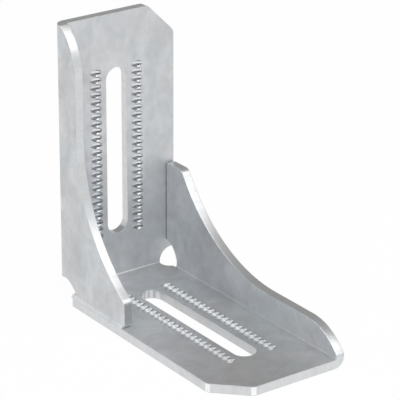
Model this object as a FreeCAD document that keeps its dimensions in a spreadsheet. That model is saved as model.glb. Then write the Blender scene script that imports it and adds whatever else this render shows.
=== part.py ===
# Strut angle fitting: one sheet of steel cut, pierced, serrated and folded three times.
# The base lies on the ground and the upright rises from its back edge. The left flange is
# folded from the upright and stands on the base. The right flange is folded from the base
# and meets the upright. Millimetres, +Z up, origin at the bottom centre of the fitting.
import FreeCAD, Part
import math
import os
import Sketcher

SIZES = {
    # the sheet, its folds and the gap where a flange meets the other leg
    "sheet_thickness": 5.0,
    "inner_bend_radius": 0.8,
    "fold_gap": 0.3,
    # the legs, measured from the outside of the heel, and the width over both flanges
    "base_length": 150.0,
    "upright_height": 150.0,
    "flange_span": 70.2,
    "base_margin": 1.2,
    "corner_chamfer": 16.2,
    "corner_round": 5.0,
    # the slot in each leg
    "slot_width": 12.3,
    "slot_length": 91.6,
    "base_slot_start": 30.2,
    "upright_slot_start": 29.0,
    # the outline of a flange, along the leg it meets and out from the leg it is folded from
    "flange_depth": 61.5,
    "shoulder_end": 19.0,
    "shoulder_round": 4.5,
    "band_start": 93.7,
    "band_depth": 19.3,
    "nose_length": 24.7,
    "nose_depth": 6.8,
    "foot_chamfer": 1.0,
    # the round relief at each end of the heel, as it comes out on each leg and on the flanges
    "upright_relief_radius": 7.3,
    "upright_relief_inset": 1.9,
    "upright_relief_rise": 5.6,
    "base_relief_radius": 5.8,
    "base_relief_inset": 3.8,
    "base_relief_rise": 7.0,
    "base_left_relief_radius": 9.3,
    "base_left_relief_inset": 1.5,
    "base_left_relief_rise": 6.5,
    "flange_relief_radius": 10.5,
    "flange_relief_reach": 7.0,
    "left_relief_rise": 2.6,
    "right_relief_rise": 4.0,
    # the serrations, one row on each side of each slot
    "tooth_count": 24,
    "tooth_pitch": 3.93,
    "tooth_length": 6.8,
    "tooth_width": 3.7,
    "tooth_floor": 1.1,
    "tooth_depth": 1.9,
    "row_spacing": 25.2,
}

# Lengths that several features share, as expressions of the sheet's cells.
OUTER = "(Sizes.inner_bend_radius + Sizes.sheet_thickness)"
MIDDLE = "((Sizes.flange_span - Sizes.base_margin) / 2)"
MEETING = "(Sizes.sheet_thickness + Sizes.fold_gap)"
FLAT_END = f"(Sizes.flange_span - {OUTER})"
# The disc that leaves a serration: its radius follows from the notch's length and depth.
DISC_RADIUS = "((Sizes.tooth_length ^ 2 / 4 + Sizes.tooth_depth ^ 2) / (2 * Sizes.tooth_depth))"
DISC_AXIS = f"(Sizes.sheet_thickness - Sizes.tooth_depth + {DISC_RADIUS})"
ORIGIN = (-1, 1)
START, END, CENTRE = range(1, 4)
SAME_PLACE = 0.001

doc = FreeCAD.newDocument("StrutAngleFitting")
sheet = doc.addObject("Spreadsheet::Sheet", "Sizes")
for row, (alias, number) in enumerate(SIZES.items(), start=1):
    sheet.set(f"A{row}", alias)
    sheet.set(f"B{row}", str(number))
    sheet.setAlias(f"B{row}", alias)
doc.recompute()

body = doc.addObject("PartDesign::Body", "AngleFitting")
body.Label = "angle_fitting"
datums = {datum.Role: datum for datum in body.Origin.OriginFeatures}


def value(expression):
    """The length that an expression of the sheet's cells comes to."""
    return float(sheet.evalExpression(expression))


def new_sketch(name, plane, offset="0"):
    """A sketch on one of the body's origin planes, moved along its normal."""
    sketch = body.newObject("Sketcher::SketchObject", name)
    sketch.AttachmentSupport = [(datums[plane], "")]
    sketch.MapMode = "FlatFace"
    if offset != "0":
        sketch.setExpression("AttachmentOffset.Base.z", offset)
    doc.recompute()
    return sketch


def point(across, up):
    """A place in a sketch from two expressions."""
    return FreeCAD.Vector(value(across), value(up), 0)


def bind(sketch, constraint, expression):
    """Add a constraint whose size follows an expression of the sheet's cells."""
    index = sketch.addConstraint(constraint)
    sketch.setExpression(f"Constraints[{index}]", expression)


def locate(sketch, vertex, across=None, up=None):
    """Bind a vertex's distances from the sketch's origin to expressions."""
    for kind, expression in (("DistanceX", across), ("DistanceY", up)):
        if expression is not None:
            bind(sketch, Sketcher.Constraint(kind, *ORIGIN, *vertex, value(expression)), expression)


def add_polygon(sketch, corners):
    """A closed outline of straight lines with every corner bound to the sheet."""
    first = sketch.GeometryCount
    spots = [point(*corner) for corner in corners]
    for here, there in zip(spots, spots[1:] + spots[:1]):
        sketch.addGeometry(Part.LineSegment(here, there))
    for step, corner in enumerate(corners):
        before = first + (step - 1) % len(corners)
        sketch.addConstraint(Sketcher.Constraint("Coincident", before, END, first + step, START))
        locate(sketch, (first + step, START), *corner)


def add_rectangle(sketch, left, right, bottom, top):
    """A rectangle between two bounds across and two up."""
    add_polygon(sketch, [(left, bottom), (right, bottom), (right, top), (left, top)])


def add_fold(sketch, across, up, start_angle):
    """A quarter ring, the section of a fold, about the centre of its bend."""
    centre = point(across, up)
    start = math.radians(start_angle)
    radii = ("Sizes.inner_bend_radius", OUTER)
    for radius in radii:
        circle = Part.Circle(centre, FreeCAD.Vector(0, 0, 1), value(radius))
        sketch.addGeometry(Part.ArcOfCircle(circle, start, start + math.pi / 2))
    inner, outer = 0, 1
    for end in (START, END):
        along = [sketch.getPoint(arc, end) for arc in (inner, outer)]
        line = sketch.addGeometry(Part.LineSegment(*along))
        sketch.addConstraint(Sketcher.Constraint("Coincident", line, START, inner, end))
        sketch.addConstraint(Sketcher.Constraint("Coincident", line, END, outer, end))
        level = abs(along[0].y - along[1].y) < abs(along[0].x - along[1].x)
        sketch.addConstraint(Sketcher.Constraint("Horizontal" if level else "Vertical", line))
        sketch.addConstraint(Sketcher.Constraint("PointOnObject", inner, CENTRE, line))
    for arc, radius in enumerate(radii):
        bind(sketch, Sketcher.Constraint("Radius", arc, value(radius)), radius)
    sketch.addConstraint(Sketcher.Constraint("Coincident", inner, CENTRE, outer, CENTRE))
    locate(sketch, (inner, CENTRE), across, up)


def pad(name, sketch, length):
    """Add the sketch's outline to the body, drawn out along the sketch's normal."""
    feature = body.newObject("PartDesign::Pad", name)
    feature.Profile = sketch
    feature.setExpression("Length", length)
    doc.recompute()
    return feature


def pocket(name, sketch, length):
    """Cut the sketch's outline out of the body along the sketch's normal."""
    before = body.Shape.Volume
    feature = body.newObject("PartDesign::Pocket", name)
    feature.Profile = sketch
    feature.Reversed = True
    feature.setExpression("Length", length)
    doc.recompute()
    if body.Shape.Volume >= before:
        raise RuntimeError(f"{name} cuts nothing")
    return feature


def up_the_upright(along, out):
    """Sketch place on the YZ plane for a height up the upright and a distance out from it."""
    return (f"-({out})", along)


def along_the_base(along, out):
    """Sketch place on the YZ plane for a distance along the base and a height above its underside."""
    return (f"-({along})", out)


def add_circle(sketch, across, up, radius):
    """A circle with its centre and radius bound to the sheet."""
    circle = Part.Circle(point(across, up), FreeCAD.Vector(0, 0, 1), value(radius))
    index = sketch.addGeometry(circle)
    locate(sketch, (index, CENTRE), across, up)
    bind(sketch, Sketcher.Constraint("Radius", index, value(radius)), radius)


def add_flange_relief(sketch, place, along):
    """The part of the relief's circle that cuts a flange: a segment behind its meeting edge."""
    radius, out = "Sizes.flange_relief_radius", "Sizes.flange_relief_reach"
    half_chord = f"sqrt({radius} ^ 2 - ({MEETING} - {along}) ^ 2)"
    low = point(*place(MEETING, f"({out} - {half_chord})"))
    high = point(*place(MEETING, f"({out} + {half_chord})"))
    crown = point(*place(f"({along} + {radius})", out))
    arc = sketch.addGeometry(Part.Arc(low, crown, high))
    ends = [sketch.getPoint(arc, end) for end in (START, END)]
    chord = sketch.addGeometry(Part.LineSegment(ends[1], ends[0]))
    sketch.addConstraint(Sketcher.Constraint("Coincident", arc, END, chord, START))
    sketch.addConstraint(Sketcher.Constraint("Coincident", arc, START, chord, END))
    upright_chord = abs(ends[0].x - ends[1].x) < abs(ends[0].y - ends[1].y)
    sketch.addConstraint(Sketcher.Constraint("Vertical" if upright_chord else "Horizontal", chord))
    across, up = place(MEETING, "0")
    if upright_chord:
        locate(sketch, (chord, START), across=across)
    else:
        locate(sketch, (chord, START), up=up)
    locate(sketch, (arc, CENTRE), *place(along, out))
    bind(sketch, Sketcher.Constraint("Radius", arc, value(radius)), radius)


def add_slot(sketch, across, bottom, top):
    """A slot with round ends, upright in the sketch, between two heights."""
    half = "Sizes.slot_width / 2"
    axis = FreeCAD.Vector(0, 0, 1)
    low = point(across, f"{bottom} + {half}")
    high = point(across, f"{top} - {half}")
    side = FreeCAD.Vector(value(half), 0, 0)
    sketch.addGeometry(Part.ArcOfCircle(Part.Circle(low, axis, value(half)), math.pi, 2 * math.pi))
    sketch.addGeometry(Part.LineSegment(low + side, high + side))
    sketch.addGeometry(Part.ArcOfCircle(Part.Circle(high, axis, value(half)), 0, math.pi))
    sketch.addGeometry(Part.LineSegment(high - side, low - side))
    for edge in range(4):
        following = (edge + 1) % 4
        sketch.addConstraint(Sketcher.Constraint("Tangent", edge, END, following, START))
    locate(sketch, (0, CENTRE), across, f"{bottom} + {half}")
    locate(sketch, (2, CENTRE), across, f"{top} - {half}")
    sketch.addConstraint(Sketcher.Constraint("Equal", 0, 2))
    bind(sketch, Sketcher.Constraint("Radius", 0, value(half)), half)


def edges_at(**coordinates):
    """The names of the body's edges whose ends both lie at the given coordinates."""
    wanted = {axis: value(place) for axis, place in coordinates.items()}
    names = []
    for number, edge in enumerate(body.Shape.Edges, start=1):
        ends = [vertex.Point for vertex in edge.Vertexes]
        if all(abs(getattr(end, axis) - at) < SAME_PLACE for end in ends for axis, at in wanted.items()):
            names.append(f"Edge{number}")
    if not names:
        raise RuntimeError(f"no edge lies at {wanted}")
    return names


def dress(kind, name, size_name, expression, places):
    """Chamfer or round the edges at the given places by one size of the sheet."""
    edges = [edge for place in places for edge in edges_at(**place)]
    last = body.Tip
    feature = body.newObject(f"PartDesign::{kind}", name)
    feature.Base = (last, edges)
    feature.setExpression(size_name, expression)
    doc.recompute()
    return feature


def row_start(slot_start):
    """The first serration's place along its leg: each row is centred on the leg's slot."""
    return f"({slot_start} + (Sizes.slot_length - Sizes.tooth_pitch * (Sizes.tooth_count - 1)) / 2)"


def add_disc_edge(sketch, place, first):
    """The disc's edge at the first notch of a row, flat between slanting sides, and its axis."""
    rim = "(Sizes.sheet_thickness - Sizes.tooth_depth)"
    above = "(Sizes.sheet_thickness + Sizes.tooth_depth / 2)"
    half_rim = "Sizes.tooth_floor / 2"
    half_above = "(0.75 * Sizes.tooth_width - 0.25 * Sizes.tooth_floor)"
    before = f"({first} - {half_above})"
    after = f"({first} + {half_above})"
    corners = [(before, above), (f"({first} - {half_rim})", rim),
               (f"({first} + {half_rim})", rim), (after, above)]
    add_polygon(sketch, [place(*corner) for corner in corners])
    ends = [place(before, DISC_AXIS), place(after, DISC_AXIS)]
    axis = sketch.addGeometry(Part.LineSegment(*(point(*end) for end in ends)), True)
    for vertex, end in zip((START, END), ends):
        locate(sketch, (axis, vertex), *end)


def notch(name, sketch):
    """Turn the disc's edge once round its axis and cut what it meets."""
    before = body.Shape.Volume
    feature = body.newObject("PartDesign::Groove", name)
    feature.Profile = sketch
    feature.ReferenceAxis = (sketch, ["Axis0"])
    feature.Angle = 360
    doc.recompute()
    if body.Shape.Volume >= before:
        raise RuntimeError(f"{name} cuts nothing")
    return feature


def repeat(name, features, axis, reverse):
    """Repeat the first notch of each row along its leg."""
    feature = body.newObject("PartDesign::LinearPattern", name)
    feature.Originals = features
    feature.Direction = (datums[axis], [""])
    feature.Reversed = reverse
    feature.setExpression("Length", "Sizes.tooth_pitch * (Sizes.tooth_count - 1)")
    feature.setExpression("Occurrences", "Sizes.tooth_count")
    body.Tip = feature
    doc.recompute()
    return feature


def sweep(band_end, far_end, place):
    """An arc that leaves the band along its edge at one end and passes through the other end."""
    along, out = (value(expression) for expression in band_end)
    far_along, far_out = (value(expression) for expression in far_end)
    rise = far_out - out
    radius = ((far_along - along) ** 2 + rise**2) / (2 * rise)
    centre = FreeCAD.Vector(along, out + radius, 0)
    halfway = FreeCAD.Vector(along, out, 0) + FreeCAD.Vector(far_along, far_out, 0) - centre * 2
    crown = centre + halfway.normalize() * abs(radius)
    middle = (str(crown.x), str(crown.y))
    return Part.Arc(*(point(*place(*spot)) for spot in (band_end, middle, far_end)))


def add_flange_outline(sketch, place, leg):
    """A flange's outline: butt edge, shoulder, hollow sweep down to a narrow band, round nose.

    place turns a distance along the leg and a depth out from it into the sketch's own two.
    """
    root = (MEETING, OUTER)
    butt = (MEETING, "Sizes.flange_depth")
    shoulder = ("Sizes.shoulder_end", "Sizes.flange_depth")
    band = ("Sizes.band_start", "Sizes.band_depth")
    nose = (f"({leg} - Sizes.nose_length)", "Sizes.band_depth")
    tip = (leg, "Sizes.nose_depth")
    tip_root = (leg, OUTER)
    corners = [root, butt, shoulder, band, nose, tip, tip_root]
    sweeps = {shoulder: (band, shoulder), nose: (nose, tip)}
    for here, there in zip(corners, corners[1:] + corners[:1]):
        if here in sweeps:
            sketch.addGeometry(sweep(*sweeps[here], place))
        else:
            sketch.addGeometry(Part.LineSegment(point(*place(*here)), point(*place(*there))))
    for step, corner in enumerate(corners):
        before = (step - 1) % len(corners)
        spot = point(*place(*corner))
        ends = [min((START, END), key=lambda end: sketch.getPoint(edge, end).distanceToPoint(spot))
                for edge in (before, step)]
        kind = "Tangent" if corner in (band, nose) else "Coincident"
        sketch.addConstraint(Sketcher.Constraint(kind, before, ends[0], step, ends[1]))
        locate(sketch, (step, ends[1]), *place(*corner))


# The base, the fold at the heel and the upright.
base_outline = new_sketch("BaseOutline", "XY_Plane")
add_rectangle(base_outline, "-Sizes.base_margin", FLAT_END, "-Sizes.base_length", f"-{OUTER}")
pad("Base", base_outline, "Sizes.sheet_thickness")

heel_section = new_sketch("HeelSection", "YZ_Plane", OUTER)
add_fold(heel_section, f"-{OUTER}", OUTER, -90)
pad("Heel", heel_section, f"{FLAT_END} - {OUTER}")

upright_outline = new_sketch("UprightOutline", "XZ_Plane")
add_rectangle(upright_outline, OUTER, "Sizes.flange_span", OUTER, "Sizes.upright_height")
pad("Upright", upright_outline, "Sizes.sheet_thickness")

# The left flange turns forward from the upright, the right flange turns up from the base.
left_fold = new_sketch("LeftFoldSection", "XY_Plane", OUTER)
add_fold(left_fold, OUTER, f"-{OUTER}", 90)
pad("LeftFold", left_fold, f"Sizes.upright_height - {OUTER}")

right_fold = new_sketch("RightFoldSection", "XZ_Plane", OUTER)
add_fold(right_fold, FLAT_END, OUTER, -90)
pad("RightFold", right_fold, f"Sizes.base_length - {OUTER}")

left_flange = new_sketch("LeftFlangeOutline", "YZ_Plane")
add_flange_outline(left_flange, up_the_upright, "Sizes.upright_height")
pad("LeftFlange", left_flange, "Sizes.sheet_thickness")

right_flange = new_sketch("RightFlangeOutline", "YZ_Plane", "Sizes.flange_span - Sizes.sheet_thickness")
add_flange_outline(right_flange, along_the_base, "Sizes.base_length")
pad("RightFlange", right_flange, "Sizes.sheet_thickness")

# The round hole at each end of the heel, which lets the sheet fold both ways there.
upright_relief = new_sketch("UprightRelief", "XZ_Plane")
for centre in ("Sizes.base_relief_inset", "(Sizes.flange_span - Sizes.upright_relief_inset)"):
    add_circle(upright_relief, centre, "Sizes.upright_relief_rise", "Sizes.upright_relief_radius")
pocket("UprightReliefs", upright_relief, OUTER)

base_relief = new_sketch("BaseRelief", "XY_Plane")
add_circle(base_relief, "Sizes.base_left_relief_inset", "-Sizes.base_left_relief_rise",
           "Sizes.base_left_relief_radius")
add_circle(base_relief, "(Sizes.flange_span - Sizes.base_relief_inset)", "-Sizes.base_relief_rise",
           "Sizes.base_relief_radius")
pocket("BaseReliefs", base_relief, OUTER)

left_relief = new_sketch("LeftFlangeRelief", "YZ_Plane")
add_flange_relief(left_relief, up_the_upright, "Sizes.left_relief_rise")
pocket("LeftFlangeReliefCut", left_relief, OUTER)

right_relief = new_sketch("RightFlangeRelief", "YZ_Plane", FLAT_END)
add_flange_relief(right_relief, along_the_base, "Sizes.right_relief_rise")
pocket("RightFlangeReliefCut", right_relief, OUTER)

# A long slot through each leg, on the middle of the sheet's width.
upright_slot = new_sketch("UprightSlotOutline", "XZ_Plane")
add_slot(upright_slot, MIDDLE, "Sizes.upright_slot_start", "(Sizes.upright_slot_start + Sizes.slot_length)")
pocket("UprightSlot", upright_slot, "Sizes.sheet_thickness")

base_slot = new_sketch("BaseSlotOutline", "XY_Plane")
add_slot(base_slot, MIDDLE, "-(Sizes.base_slot_start + Sizes.slot_length)", "-Sizes.base_slot_start")
pocket("BaseSlot", base_slot, "Sizes.sheet_thickness")

# The cut corners of the blank and the small breaks at the flanges' shoulders and feet.
dress("Chamfer", "CutCorners", "Size", "Sizes.corner_chamfer", [
    {"x": "Sizes.flange_span", "z": "Sizes.upright_height"},
    {"x": "-Sizes.base_margin", "y": "-Sizes.base_length"},
])
dress("Fillet", "CutCornerRounds", "Radius", "Sizes.corner_round", [
    {"x": "Sizes.flange_span - Sizes.corner_chamfer", "z": "Sizes.upright_height"},
    {"x": "Sizes.flange_span", "z": "Sizes.upright_height - Sizes.corner_chamfer"},
    {"x": "Sizes.corner_chamfer - Sizes.base_margin", "y": "-Sizes.base_length"},
    {"x": "-Sizes.base_margin", "y": "Sizes.corner_chamfer - Sizes.base_length"},
])
dress("Fillet", "ShoulderRounds", "Radius", "Sizes.shoulder_round", [
    {"y": "-Sizes.flange_depth", "z": "Sizes.shoulder_end"},
    {"y": "-Sizes.shoulder_end", "z": "Sizes.flange_depth"},
])
dress("Chamfer", "FootBreaks", "Size", "Sizes.foot_chamfer", [
    {"y": "-Sizes.flange_depth", "z": MEETING},
    {"y": f"-{MEETING}", "z": "Sizes.flange_depth"},
])

# The serrations: notches across each leg's inner face, each as a disc with a flat edge and
# slanting sides leaves it, long in the middle and rising to a curved end on both sides.
for leg, place, slot_start, axis, reverse in (
    ("Base", along_the_base, "Sizes.base_slot_start", "Y_Axis", True),
    ("Upright", up_the_upright, "Sizes.upright_slot_start", "Z_Axis", False),
):
    first_notches = []
    for side, sign in (("Left", "-"), ("Right", "+")):
        edge = new_sketch(f"{leg}{side}DiscEdge", "YZ_Plane", f"{MIDDLE} {sign} Sizes.row_spacing / 2")
        add_disc_edge(edge, place, row_start(slot_start))
        first_notches.append(notch(f"{leg}{side}Notch", edge))
    repeat(f"{leg}Serrations", first_notches, axis, reverse)

# The fitting stands with the middle of its underside at the origin.
body.setExpression("Placement.Base.x", f"-{MIDDLE}")
body.setExpression("Placement.Base.y", "Sizes.base_length / 2")

doc.recompute()
for thing in doc.Objects:
    if "Invalid" in thing.State or "Error" in thing.State:
        raise RuntimeError(f"{thing.Label} failed: {thing.State}")
shape = body.Shape
if shape.isNull() or not shape.isValid() or len(shape.Solids) != 1:
    raise RuntimeError("the fitting is not one valid solid")
os.makedirs("parts", exist_ok=True)
shape.exportStep(f"parts/{body.Label}.step")
print("volume", round(shape.Volume), "faces", len(shape.Faces), shape.BoundBox)
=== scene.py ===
import math

import bmesh
import bpy
from mathutils import Matrix, Vector


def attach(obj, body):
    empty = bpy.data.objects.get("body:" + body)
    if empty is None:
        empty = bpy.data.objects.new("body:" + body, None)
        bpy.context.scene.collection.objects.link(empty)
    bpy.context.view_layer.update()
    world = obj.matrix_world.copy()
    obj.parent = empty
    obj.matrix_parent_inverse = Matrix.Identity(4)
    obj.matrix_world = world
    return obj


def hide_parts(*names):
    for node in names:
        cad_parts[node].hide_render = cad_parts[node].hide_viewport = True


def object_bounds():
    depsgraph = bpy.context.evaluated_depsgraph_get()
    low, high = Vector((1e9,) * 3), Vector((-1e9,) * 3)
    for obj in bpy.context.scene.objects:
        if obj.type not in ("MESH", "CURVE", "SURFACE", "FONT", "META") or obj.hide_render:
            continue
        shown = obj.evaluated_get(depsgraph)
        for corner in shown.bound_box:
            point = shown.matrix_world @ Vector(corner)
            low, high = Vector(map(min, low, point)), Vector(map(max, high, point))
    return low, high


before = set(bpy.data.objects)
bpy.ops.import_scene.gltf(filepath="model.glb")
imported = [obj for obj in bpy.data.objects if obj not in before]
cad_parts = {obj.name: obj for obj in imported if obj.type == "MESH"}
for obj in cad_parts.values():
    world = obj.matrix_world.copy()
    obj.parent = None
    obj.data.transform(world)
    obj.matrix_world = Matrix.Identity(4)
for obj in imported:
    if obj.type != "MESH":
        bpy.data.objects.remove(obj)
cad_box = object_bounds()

# Sizes of the fitting in metres: two from the solids' box, the rest as in the part's source.
RIGHT = cad_box[1][0]
BACK = cad_box[1][1]
SHEET = 0.005
BEND = 0.0058
LEFT_FLANGE = -0.0345
ROW_MIDDLE = 0.0001
ROW_APART = 0.0252

# The strips that hold the serrations and the slots between them, each with some room to spare:
# where they start and end along a leg, half a row's width, a row's depth and half a slot's width.
ROW_FROM = 0.026
ROW_TO = 0.126
ROW_REACH = 0.0040
PIT_REACH = 0.0030
SLOT_REACH = 0.010

# Rounding of the galvanised edges, and of the base's front corners, which lie before a line.
EDGE_ROUND = 0.00035
CORNER_ROUND = 0.0009
FRONT_CORNERS = -0.050

# How far the round reliefs at the heel's ends reach along each leg, and where they start sideways.
RELIEF_REACH = 0.0142
RELIEF_FROM = 0.0200

# The left flange's foot: where it ends, from the upright's back, and a height above its front end.
FOOT_TO = 0.0600
FOOT_HEIGHT = 0.030

# The bead of zinc along the left flange's foot: its steps along, its section and its waves.
SEAM_STEPS = 60
SEAM_INSET = 0.00010
SEAM_LIP = 0.00006
SEAM_LIP_DROP = 0.0003
SEAM_BRIM = 0.00016
SEAM_RISE = 0.0014
SEAM_BACK_RISE = 0.0007
SEAM_WAVES = ((0.00006, 1.7), (0.00004, 0.6))

# How close two points are one, and how far from a plane still counts as on it.
SAME_POINT = 2e-6
TOUCH = 1e-5

# Angles between faces: what is one flat, what looks smooth, what is rounded over, what is a corner.
ONE_FLAT = math.radians(0.4)
SMOOTH = math.radians(26)
SHARP = math.radians(28)
CORNER = math.radians(20)

# How much of a normal lies along an axis: from a face square to it down to one nearly along it.
SQUARE = 0.9999
ALONG_A_SIDE = 0.995
NEARLY_SQUARE = 0.9
FOLD_END = 0.7
SLANTED = 0.5
FAR_END = 0.3
UPRIGHT = 0.1

# The order of the sheet's finishes.
COAT, CUT, NOTCH = range(3)

# Painted light and shade on single faces, as factors on the plain coat's colour, where the plain coat has
# one: below one is painted shade, above one painted light or highlight.
# The serrations: painted shade on the base's, painted light on the upright's, painted shade on the upright's
# downward flanks and painted highlight on its upward flanks.
NOTCHES_ON_BASE_PAINTED_SHADE = 0.83
NOTCHES_ON_UPRIGHT_PAINTED_LIGHT = 1.25
NOTCH_PAINTED_SHADE = 1.50
NOTCH_PAINTED_HIGHLIGHT = 0.45
NOTCH_LEAST = 0.1
# Painted shade on the front end of the left flange's foot.
FOOT_FRONT_PAINTED_SHADE = 0.60
# Painted shade on the base slot's walls and painted reflection stripes on its far end.
SLOT_WALL_PAINTED_SHADE = 0.84
SLOT_PAINTED_STRIPES = 0.20
# Painted highlight on the base's front corners.
CORNER_PAINTED_HIGHLIGHT = 1.40
# The flats: painted light on the right flange's inside, painted shade on the upright's front and the base's
# top.
RIGHT_FLANGE_INSIDE_PAINTED_LIGHT = 1.21
UPRIGHT_FRONT_PAINTED_SHADE = 0.965
BASE_TOP_PAINTED_SHADE = 0.93
# Painted highlight on the zinc bead.
SEAM_PAINTED_HIGHLIGHT = 1.4

# How fast the painted reflection stripes on the slot's far end follow each other, in radians a metre.
SLOT_PAINTED_STRIPE_PACE = 2600.0

# The two tints of the zinc, its roughness, and how far a pattern sways its brightness and roughness.
FLAT_TINTS = ((0.622, 0.627, 0.644, 1.0), (0.604, 0.632, 0.650, 1.0))
FLAT_ROUGHNESS = 0.38
FLAT_SWAYS = (0.22, -0.10)
CUT_TINTS = ((0.690, 0.695, 0.702, 1.0), (0.665, 0.685, 0.700, 1.0))
CUT_ROUGHNESS = 0.33
CUT_SWAYS = (0.60, -0.30)

# The patterns' scales, in features a metre, and the ranges of noise that they use.
CLOUD_SCALE = 58.0
PATCH_SCALE = 170.0
CRYSTAL_SCALE = 260.0
GRAIN_SCALE = 2400.0
TINT_SCALE = 30.0
LINE_SCALE = 900.0
BROAD_LINE_SCALE = 210.0
CUT_CLOUD_SCALE = 330.0
TONE_RANGE = (0.20, 0.80)
TINT_RANGE = (0.28, 0.72)

# How far the bump of the zinc's patterns rises.
BUMP_RELIEF = 0.0002

# The cut edges' pattern: how the run along an edge follows the two axes, and its squeeze across.
RUN_ALONG = (0.83, 1.19)
RUN_ACROSS = 0.06

# The camera, matched to the photograph.
CAMERA_SENSOR = 36.0
CAMERA_LENS = 212.686
CAMERA_NEAR = 0.05
CAMERA_FAR = 20.0
CAMERA_PLACE = Vector((-0.62958577, -0.87438912, 0.52323655))
CAMERA_RIGHT = Vector((0.8114627, -0.5843915, 0.0038651))
CAMERA_UP = Vector((0.2230994, 0.3158860, 0.9221944))
CAMERA_AHEAD = Vector((0.5401435, 0.7474641, -0.3867072))

# The studio: soft light all round, a floor that shines in part, and a grey ceiling.
SOFT_LIGHT = 0.8
FLOOR_SIZE = 6.0
FLOOR_WHITE = (0.9, 0.9, 0.9, 1.0)
FLOOR_ROUGHNESS = 0.9
FLOOR_SHINE = 0.97
CEILING_PLACE = (4.2, 3.6, 2.2)
CEILING_SIZE = 12.0
CEILING_GREY = (1.0, 0.975, 0.94, 1.0)
CEILING_LEVEL = 0.275

# The lamps: name, place, size and power. All look at one spot on the fitting.
LAMP_AIM = Vector((0.0, 0.0, 0.05))
LAMPS = (
    ("window_light", (0.45, -0.8, 1.15), (1.1, 0.9), 6.2),
    ("front_panel", (-1.0, -1.4, 0.85), (1.6, 1.0), 6.2),
    ("sky_panel", (0.0, -0.05, 1.5), (0.9, 0.8), 6.0),
)


# The studio

def add_camera():
    data = bpy.data.cameras.new("camera")
    data.sensor_width = CAMERA_SENSOR
    data.lens = CAMERA_LENS
    data.clip_start = CAMERA_NEAR
    data.clip_end = CAMERA_FAR
    camera = bpy.data.objects.new("camera", data)
    bpy.context.collection.objects.link(camera)
    turn = Matrix((CAMERA_RIGHT, CAMERA_UP, -CAMERA_AHEAD)).transposed().to_4x4()
    camera.matrix_world = Matrix.Translation(CAMERA_PLACE) @ turn
    bpy.context.scene.camera = camera


def add_lamp(name, place, size, power):
    data = bpy.data.lights.new(name, "AREA")
    data.shape = "RECTANGLE"
    data.size, data.size_y = size
    data.energy = power
    lamp = bpy.data.objects.new(name, data)
    lamp.visible_camera = False
    bpy.context.collection.objects.link(lamp)
    place = Vector(place)
    lamp.location = place
    lamp.rotation_euler = (LAMP_AIM - place).to_track_quat("-Z", "Y").to_euler()


def seen_or_mirrored(nodes, links):
    """One for what the camera sees directly, in metal or through glass, nought for soft light."""
    path = nodes.new("ShaderNodeLightPath")
    total = path.outputs["Is Camera Ray"]
    for ray in ("Is Glossy Ray", "Is Transmission Ray"):
        either = nodes.new("ShaderNodeMath")
        either.operation = "MAXIMUM"
        links.new(total, either.inputs[0])
        links.new(path.outputs[ray], either.inputs[1])
        total = either.outputs[0]
    return total


def add_world():
    world = bpy.data.worlds.new("studio")
    world.use_nodes = True
    nodes, links = world.node_tree.nodes, world.node_tree.links
    soft = nodes["Background"]
    soft.inputs["Color"].default_value = (1.0, 1.0, 1.0, 1.0)
    soft.inputs["Strength"].default_value = SOFT_LIGHT
    white = nodes.new("ShaderNodeBackground")
    white.inputs["Strength"].default_value = 1.0
    mix = nodes.new("ShaderNodeMixShader")
    links.new(seen_or_mirrored(nodes, links), mix.inputs[0])
    links.new(soft.outputs[0], mix.inputs[1])
    links.new(white.outputs[0], mix.inputs[2])
    links.new(mix.outputs[0], nodes["World Output"].inputs["Surface"])
    bpy.context.scene.world = world


def add_floor():
    """A white floor: part of it shines as the backdrop does, the rest keeps the shadow."""
    bpy.ops.mesh.primitive_plane_add(size=FLOOR_SIZE)
    floor = bpy.context.object
    floor.name = "floor"
    white = bpy.data.materials.new("floor_white")
    white.use_nodes = True
    nodes, links = white.node_tree.nodes, white.node_tree.links
    paper = nodes["Principled BSDF"]
    paper.inputs["Base Color"].default_value = FLOOR_WHITE
    paper.inputs["Roughness"].default_value = FLOOR_ROUGHNESS
    shine = nodes.new("ShaderNodeEmission")
    shine.inputs["Strength"].default_value = 1.0
    share = nodes.new("ShaderNodeMath")
    share.operation = "MULTIPLY"
    share.inputs[1].default_value = FLOOR_SHINE
    links.new(seen_or_mirrored(nodes, links), share.inputs[0])
    mix = nodes.new("ShaderNodeMixShader")
    links.new(share.outputs[0], mix.inputs[0])
    links.new(paper.outputs[0], mix.inputs[1])
    links.new(shine.outputs[0], mix.inputs[2])
    links.new(mix.outputs[0], nodes["Material Output"].inputs["Surface"])
    floor.data.materials.append(white)


def add_ceiling():
    """The studio's grey ceiling, above and behind, which the upward faces mirror."""
    bpy.ops.mesh.primitive_plane_add(size=CEILING_SIZE, location=CEILING_PLACE)
    ceiling = bpy.context.object
    ceiling.name = "ceiling"
    grey = bpy.data.materials.new("ceiling_grey")
    grey.use_nodes = True
    nodes, links = grey.node_tree.nodes, grey.node_tree.links
    glow = nodes.new("ShaderNodeEmission")
    glow.inputs["Color"].default_value = CEILING_GREY
    glow.inputs["Strength"].default_value = CEILING_LEVEL
    links.new(glow.outputs[0], nodes["Material Output"].inputs["Surface"])
    ceiling.data.materials.append(grey)


# Places on the fitting

def middle(edge):
    return (edge.verts[0].co + edge.verts[1].co) / 2


def beside_slot(spot):
    """True for a place as far from the slots' middle line as the rows are."""
    return min(abs(spot.x - ROW_MIDDLE - side * ROW_APART / 2) for side in (-1, 1)) < ROW_REACH


def in_row(spot):
    """True inside the strips that hold the serrations."""
    return beside_slot(spot) and (ROW_FROM < BACK - spot.y < ROW_TO or ROW_FROM < spot.z < ROW_TO)


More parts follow.
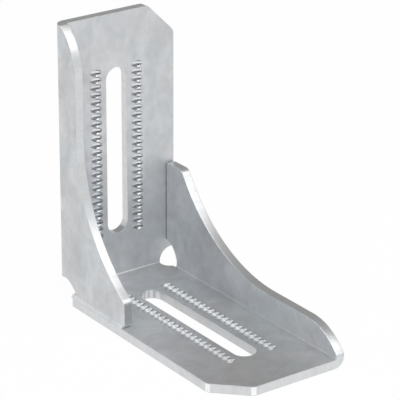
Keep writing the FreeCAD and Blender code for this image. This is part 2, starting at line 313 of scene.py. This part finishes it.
def in_pits(spot, top):
    """Whether a place lies in the base's serrations, and whether it lies in the upright's."""
    inward = BACK - spot.y
    on_base = SHEET - PIT_REACH < spot.z < top and ROW_FROM < inward < ROW_TO
    on_upright = SHEET - PIT_REACH < inward < top and ROW_FROM < spot.z < ROW_TO
    return on_base, on_upright


def is_pit_edge(edge):
    """True for an edge of a serration, on or under the inner faces."""
    spot = middle(edge)
    return beside_slot(spot) and any(in_pits(spot, SHEET + TOUCH))


def is_relief_edge(edge):
    """True for an edge of the round reliefs at the heel's ends, which are left as cut."""
    spot = middle(edge)
    return BACK - spot.y < RELIEF_REACH and spot.z < RELIEF_REACH and abs(spot.x) > RELIEF_FROM


def is_front_corner_edge(edge):
    """True for an upright edge at a corner of the base's front, where a white highlight is painted."""
    first, second = (vert.co for vert in edge.verts)
    upright = abs(first.x - second.x) < TOUCH and abs(first.y - second.y) < TOUCH
    at_front = first.y < FRONT_CORNERS and max(first.z, second.z) < SHEET + TOUCH
    return upright and at_front and edge.calc_face_angle(0.0) > CORNER


def is_notch(spot, facing):
    """True for a face of a serration: in a row's strip, under the inner face and sloping."""
    if abs(facing.x) > SQUARE or not beside_slot(spot):
        return False
    on_base, on_upright = in_pits(spot, SHEET)
    return (on_base and facing.z < SQUARE) or (on_upright and facing.y > -SQUARE)


def is_cut(spot, facing):
    """True for a face through the sheet's thickness: an outline, a slot wall or a relief."""
    inward = BACK - spot.y
    heel = inward < BEND and spot.z < BEND
    left_fold = inward < BEND and spot.x < LEFT_FLANGE + BEND
    right_fold = spot.z < BEND and spot.x > RIGHT - BEND
    if heel:
        return abs(facing.x) > FOLD_END
    if left_fold:
        return abs(facing.z) > FOLD_END
    if right_fold:
        return abs(facing.y) > FOLD_END
    if spot.z < SHEET + TOUCH:
        return abs(facing.z) < SLANTED and not in_row(spot)
    if inward < SHEET + TOUCH:
        return abs(facing.y) < SLANTED and not in_row(spot)
    return abs(facing.x) < SLANTED


def is_foot_front(spot, facing):
    """True for the upright front end of the left flange's foot."""
    on_flange = spot.x < LEFT_FLANGE + SHEET and SHEET < spot.z < FOOT_HEIGHT
    return on_flange and facing.y < -NEARLY_SQUARE


def is_base_slot_wall(spot):
    in_slot = abs(spot.x) < SLOT_REACH and ROW_FROM / 2 < BACK - spot.y < ROW_TO
    return in_slot and spot.z < SHEET


def is_front_corner(spot, facing):
    """True for a face that turns between two sides of the base's front."""
    east, north = abs(facing.x), abs(facing.y)
    turning = max(east, north, (east + north) * math.sqrt(0.5)) < ALONG_A_SIDE
    at_front = spot.z < SHEET and spot.y < FRONT_CORNERS
    return at_front and abs(facing.z) < UPRIGHT and turning


# The folded sheet as seen

def cleaned(node):
    """The node's mesh with its corners joined and its flats in one face each."""
    bm = bmesh.new()
    bm.from_mesh(node.data)
    bmesh.ops.remove_doubles(bm, verts=bm.verts, dist=SAME_POINT)
    bmesh.ops.dissolve_limit(bm, angle_limit=ONE_FLAT, verts=bm.verts, edges=bm.edges)
    return bm


def round_over(bm, edges, offset, segments):
    """Rounds the given edges over and returns the new faces."""
    rounded = bmesh.ops.bevel(bm, geom=edges, offset=offset, offset_type="OFFSET",
                              segments=segments, profile=0.5, affect="EDGES",
                              clamp_overlap=False, loop_slide=True, material=-1)
    return set(rounded["faces"])


def mark_finishes(bm, brim):
    """Says which faces look smooth and which finish each one has."""
    for edge in bm.edges:
        edge.smooth = edge.calc_face_angle(0.0) < SMOOTH
    for face in bm.faces:
        face.smooth = True
        spot = face.calc_center_median()
        if is_notch(spot, face.normal):
            face.material_index = NOTCH
        elif face not in brim and is_cut(spot, face.normal):
            face.material_index = CUT


def with_shading(name, rough):
    """An object whose flats are shaded flat right up to their rounded edges."""
    piece = bpy.data.objects.new(name, rough)
    bpy.context.collection.objects.link(piece)
    shading = piece.modifiers.new("flats_stay_flat", "WEIGHTED_NORMAL")
    shading.weight = 100
    shading.keep_sharp = True
    ready = piece.evaluated_get(bpy.context.evaluated_depsgraph_get())
    mesh = bpy.data.meshes.new_from_object(ready)
    piece.modifiers.clear()
    piece.data = mesh
    mesh.name = name
    bpy.data.meshes.remove(rough)
    return piece


def eased_copy(node):
    """A closed copy of the folded sheet whose outline and slot edges are rounded over."""
    bm = cleaned(node)
    corners = [edge for edge in bm.edges if is_front_corner_edge(edge)]
    round_over(bm, corners, CORNER_ROUND, 3)
    sharp = [edge for edge in bm.edges
             if edge.calc_face_angle(0.0) > SHARP
             and not is_pit_edge(edge) and not is_relief_edge(edge)]
    brim = round_over(bm, sharp, EDGE_ROUND, 2)
    mark_finishes(bm, brim)
    for vert in bm.verts:
        vert.co = [min(max(at, low), high) for at, low, high in zip(vert.co, *cad_box)]
    rough = bpy.data.meshes.new("angle_before_shading")
    bm.to_mesh(rough)
    bm.free()
    return with_shading("zinced_angle", rough)


def add_cut_run(mesh):
    """A UV map for the cut faces: one way along the sheet's edge, the other across it."""
    layer = mesh.uv_layers.new(name="cut_run")
    for face in mesh.polygons:
        spot = face.center
        inward = BACK - spot.y
        if spot.z < SHEET + TOUCH and spot.x < RIGHT - BEND + TOUCH and inward > BEND - TOUCH:
            across, plane = 2, (0, 1)
        elif inward < SHEET + TOUCH and spot.x > LEFT_FLANGE + BEND:
            across, plane = 1, (0, 2)
        else:
            across, plane = 0, (1, 2)
        for loop in face.loop_indices:
            at = mesh.vertices[mesh.loops[loop].vertex_index].co
            run = at[plane[0]] * RUN_ALONG[0] + at[plane[1]] * RUN_ALONG[1]
            layer.data[loop].uv = (run, at[across] * RUN_ACROSS)


def notch_painted_light(spot, facing):
    """Painted light in a serration: painted shade on the base's notches; on the upright, painted light
    overall, painted shade on flanks that face down and painted highlight on flanks that face up, mostly
    towards each notch's right.
    """
    if BACK - spot.y > SHEET:
        return NOTCHES_ON_BASE_PAINTED_SHADE
    nearest = ROW_MIDDLE + math.copysign(ROW_APART / 2, spot.x - ROW_MIDDLE)
    to_the_right = min(1.0, max(NOTCH_LEAST, 0.5 + (spot.x - nearest) / ROW_REACH))
    # Downward flanks get painted shade, upward flanks painted highlight.
    shaded_share, lit_share = max(0.0, -facing.z), max(0.0, facing.z)
    return NOTCHES_ON_UPRIGHT_PAINTED_LIGHT + (NOTCH_PAINTED_HIGHLIGHT * lit_share - NOTCH_PAINTED_SHADE * shaded_share) * to_the_right


def flat_painted_light(spot, facing):
    """Painted light and shade on the flats: the right flange's inside painted lighter, the upright's front
    and the base's top painted darker.
    """
    if facing.x < -NEARLY_SQUARE and spot.x > 0:
        return RIGHT_FLANGE_INSIDE_PAINTED_LIGHT
    if facing.y < -NEARLY_SQUARE:
        return UPRIGHT_FRONT_PAINTED_SHADE
    if facing.z > NEARLY_SQUARE:
        return BASE_TOP_PAINTED_SHADE
    return 1.0


def painted_light_and_shade(spot, facing, finish):
    """Painted light and shade on one face, as a factor on the coat's colour, where the plain coat has one.
    """
    if finish == NOTCH:
        return notch_painted_light(spot, facing)
    # Painted shade on the front end of the left flange's foot.
    if finish == CUT and is_foot_front(spot, facing):
        return FOOT_FRONT_PAINTED_SHADE
    # Painted shade on the base slot's walls, with painted reflection stripes on its far end.
    if finish == CUT and is_base_slot_wall(spot):
        at_far_end = facing.y < -FAR_END
        return SLOT_WALL_PAINTED_SHADE + at_far_end * SLOT_PAINTED_STRIPES * math.sin(spot.x * SLOT_PAINTED_STRIPE_PACE)
    # Painted highlight on the rounded corners of the base's front.
    if is_front_corner(spot, facing):
        return CORNER_PAINTED_HIGHLIGHT
    return flat_painted_light(spot, facing) if finish == COAT else 1.0


def add_painted_light_and_shade(mesh):
    """Puts each face's painted light and shade on the mesh."""
    shade = mesh.attributes.new("painted_light_and_shade", "FLOAT", "FACE")
    for face in mesh.polygons:
        shade.data[face.index].value = painted_light_and_shade(face.center, face.normal, face.material_index)


# The zinc bead

def add_zinc_seam(coat):
    """Set zinc along the left flange's foot: it fills the gap below and the ledge beside it."""
    inner, outer = LEFT_FLANGE + SHEET - SEAM_INSET, LEFT_FLANGE + SEAM_INSET
    bm = bmesh.new()
    rows = []
    for step in range(SEAM_STEPS + 1):
        along = BACK - RELIEF_REACH - (FOOT_TO - RELIEF_REACH) * step / SEAM_STEPS
        swell = sum(size * math.sin(step * pace) for size, pace in SEAM_WAVES)
        profile = ((SEAM_LIP - RIGHT, SHEET - SEAM_LIP_DROP),
                   (SEAM_BRIM - RIGHT, SHEET),
                   (outer, SHEET + SEAM_RISE + swell),
                   (inner, SHEET + SEAM_BACK_RISE),
                   (inner, SHEET - SEAM_INSET))
        rows.append([bm.verts.new((x, along, z)) for x, z in profile])
    for near, far in zip(rows, rows[1:]):
        for side in range(len(near)):
            following = (side + 1) % len(near)
            bm.faces.new((near[side], near[following], far[following], far[side]))
    bm.faces.new(rows[0][::-1])
    bm.faces.new(rows[-1])
    bmesh.ops.recalc_face_normals(bm, faces=bm.faces)
    mesh = bpy.data.meshes.new("zinc_seam")
    bm.to_mesh(mesh)
    bm.free()
    seam = bpy.data.objects.new("zinc_seam", mesh)
    bpy.context.collection.objects.link(seam)
    # The bead's faces carry a painted highlight, a light line along the foot.
    shade = mesh.attributes.new("painted_light_and_shade", "FLOAT", "FACE")
    shade.data.foreach_set("value", [SEAM_PAINTED_HIGHLIGHT] * len(mesh.polygons))
    mesh.materials.append(coat)
    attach(seam, "root")


# The zinc's materials

class Wiring:
    """Short ways to add nodes to one tree."""

    def __init__(self, tree):
        self.nodes = tree.nodes
        self.links = tree.links

    def feed(self, socket, value):
        if isinstance(value, (int, float, tuple)):
            socket.default_value = value
        else:
            self.links.new(value, socket)

    def maths(self, operation, *values):
        node = self.nodes.new("ShaderNodeMath")
        node.operation = operation
        for socket, value in zip(node.inputs, values):
            self.feed(socket, value)
        return node.outputs[0]

    def weighed(self, *parts):
        """The sum of the values, each times its share."""
        (value, share), *others = parts
        total = self.maths("MULTIPLY", value, share)
        for value, share in others:
            total = self.maths("MULTIPLY_ADD", value, share, total)
        return total

    def noise(self, vector, scale, detail=2.0, roughness=0.5, distortion=0.0):
        node = self.nodes.new("ShaderNodeTexNoise")
        for name, value in (("Vector", vector), ("Scale", scale), ("Detail", detail),
                            ("Roughness", roughness), ("Distortion", distortion)):
            self.feed(node.inputs[name], value)
        return node.outputs["Fac"]

    def stretched(self, vector, scale):
        node = self.nodes.new("ShaderNodeMapping")
        node.inputs["Scale"].default_value = scale
        self.links.new(vector, node.inputs["Vector"])
        return node.outputs[0]

    def spread(self, value, low, high):
        """Takes the range from low to high to nought and one, softly at both ends."""
        node = self.nodes.new("ShaderNodeMapRange")
        node.interpolation_type = "SMOOTHSTEP"
        node.inputs["From Min"].default_value = low
        node.inputs["From Max"].default_value = high
        self.links.new(value, node.inputs["Value"])
        return node.outputs["Result"]

    def blend(self, share, first, second):
        node = self.nodes.new("ShaderNodeMix")
        node.data_type = "RGBA"
        self.feed(node.inputs[0], share)
        self.feed(node.inputs[6], first)
        self.feed(node.inputs[7], second)
        return node.outputs[2]

    def scaled(self, colour, factor):
        node = self.nodes.new("ShaderNodeVectorMath")
        node.operation = "SCALE"
        self.links.new(colour, node.inputs[0])
        self.feed(node.inputs["Scale"], factor)
        return node.outputs[0]


def new_group(name, inputs):
    """A shader group that puts out a colour, a roughness and a height."""
    group = bpy.data.node_groups.new(name, "ShaderNodeTree")
    for label, value in inputs:
        socket = group.interface.new_socket(name=label, in_out="INPUT", socket_type="NodeSocketFloat")
        socket.default_value = value
    for label, kind in (("Colour", "Color"), ("Roughness", "Float"), ("Height", "Float")):
        group.interface.new_socket(name=label, in_out="OUTPUT", socket_type="NodeSocket" + kind)
    wire = Wiring(group)
    given = wire.nodes.new("NodeGroupInput").outputs
    result = wire.nodes.new("NodeGroupOutput").inputs
    return group, wire, given, result


def zinc_clouds():
    """Zinc's look on the flats: soft clouds, small crystal patches and grain."""
    inputs = (("Cloud Scale", CLOUD_SCALE), ("Patch Scale", PATCH_SCALE), ("Contrast", 1.0), ("Polish", 0.0))
    group, wire, given, result = new_group("zinc_clouds", inputs)
    place = wire.nodes.new("ShaderNodeTexCoord").outputs["Object"]
    drawn = wire.stretched(place, (1.0, 1.0, 0.8))
    clouds = wire.noise(drawn, given["Cloud Scale"], detail=3.0, roughness=0.52, distortion=0.9)
    patches = wire.noise(drawn, given["Patch Scale"], distortion=1.2)
    grain = wire.noise(place, GRAIN_SCALE, detail=1.0)
    crystals = wire.nodes.new("ShaderNodeTexVoronoi")
    crystals.inputs["Scale"].default_value = CRYSTAL_SCALE
    wire.links.new(place, crystals.inputs["Vector"])
    facets = wire.nodes.new("ShaderNodeSeparateColor")
    wire.links.new(crystals.outputs["Color"], facets.inputs[0])
    tone = wire.weighed((wire.spread(clouds, *TONE_RANGE), 0.62),
                        (wire.spread(patches, *TONE_RANGE), 0.30),
                        (facets.outputs[0], 0.03),
                        (grain, 0.05))
    swing = wire.maths("MULTIPLY", wire.maths("SUBTRACT", tone, 0.5), given["Contrast"])
    tint = wire.spread(wire.noise(place, TINT_SCALE), *TINT_RANGE)

    bright = wire.maths("MULTIPLY_ADD", swing, FLAT_SWAYS[0], 1.0)
    dull = wire.maths("MULTIPLY_ADD", swing, FLAT_SWAYS[1], FLAT_ROUGHNESS)
    wire.links.new(wire.scaled(wire.blend(tint, *FLAT_TINTS), bright), result["Colour"])
    wire.links.new(wire.maths("SUBTRACT", dull, given["Polish"]), result["Roughness"])
    wire.links.new(wire.weighed((patches, 0.75), (grain, 0.10)), result["Height"])
    return group


def shear_marks():
    """The cut edges' look: lines across the thickness from the press, smoothed by the zinc."""
    group, wire, given, result = new_group("shear_marks", (("Line Scale", LINE_SCALE),))
    run = wire.nodes.new("ShaderNodeUVMap")
    run.uv_map = "cut_run"
    place = wire.nodes.new("ShaderNodeTexCoord").outputs["Object"]
    lines = wire.noise(run.outputs[0], given["Line Scale"], roughness=0.6)
    broad = wire.noise(run.outputs[0], BROAD_LINE_SCALE)
    clouds = wire.noise(place, CUT_CLOUD_SCALE, detail=3.0, roughness=0.6, distortion=0.8)
    tone = wire.weighed((lines, 0.30), (broad, 0.40), (clouds, 0.30))
    swing = wire.maths("SUBTRACT", tone, 0.5)
    tint = wire.spread(broad, *TINT_RANGE)

    bright = wire.maths("MULTIPLY_ADD", swing, CUT_SWAYS[0], 1.0)
    dull = wire.maths("MULTIPLY_ADD", swing, CUT_SWAYS[1], CUT_ROUGHNESS)
    wire.links.new(wire.scaled(wire.blend(tint, *CUT_TINTS), bright), result["Colour"])
    wire.links.new(dull, result["Roughness"])
    wire.links.new(wire.weighed((broad, 0.65), (lines, 0.35)), result["Height"])
    return group


def zinc_material(name, group, metallic, bump, **values):
    """Bare zinc metal whose colour, roughness and bump come from a pattern group, with the colour scaled by
    each face's painted light and shade.
    """
    material = bpy.data.materials.new(name)
    material.use_nodes = True
    wire = Wiring(material.node_tree)
    shader = wire.nodes["Principled BSDF"]
    shader.inputs["Metallic"].default_value = metallic
    pattern = wire.nodes.new("ShaderNodeGroup")
    pattern.node_tree = group
    for label, value in values.items():
        pattern.inputs[label].default_value = value
    rise = wire.nodes.new("ShaderNodeBump")
    rise.inputs["Strength"].default_value = bump
    rise.inputs["Distance"].default_value = BUMP_RELIEF
    # Each face's painted light and shade scales the pattern's colour.
    shade = wire.nodes.new("ShaderNodeAttribute")
    shade.attribute_name = "painted_light_and_shade"
    colour = wire.scaled(pattern.outputs["Colour"], shade.outputs["Fac"])
    wire.links.new(colour, shader.inputs["Base Color"])
    wire.links.new(pattern.outputs["Roughness"], shader.inputs["Roughness"])
    wire.links.new(pattern.outputs["Height"], rise.inputs["Height"])
    wire.links.new(rise.outputs["Normal"], shader.inputs["Normal"])
    return material


# The scene

add_camera()
add_world()
add_floor()
add_ceiling()
for lamp_name, lamp_place, lamp_size, lamp_power in LAMPS:
    add_lamp(lamp_name, lamp_place, lamp_size, lamp_power)
bpy.context.scene.view_settings.view_transform = "Standard"

angle = eased_copy(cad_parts["angle_fitting"])
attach(angle, "root")
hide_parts("angle_fitting")
add_cut_run(angle.data)
add_painted_light_and_shade(angle.data)
flats_group = zinc_clouds()
finishes = {
    COAT: zinc_material("zinc_coat", flats_group, metallic=0.72, bump=0.22, Contrast=1.5),
    CUT: zinc_material("zinc_on_cut_edges", shear_marks(), metallic=0.85, bump=0.35),
    NOTCH: zinc_material("zinc_in_notches", flats_group, metallic=1.0, bump=0.10, Polish=0.07),
}
for finish in (COAT, CUT, NOTCH):
    angle.data.materials.append(finishes[finish])
add_zinc_seam(finishes[COAT])
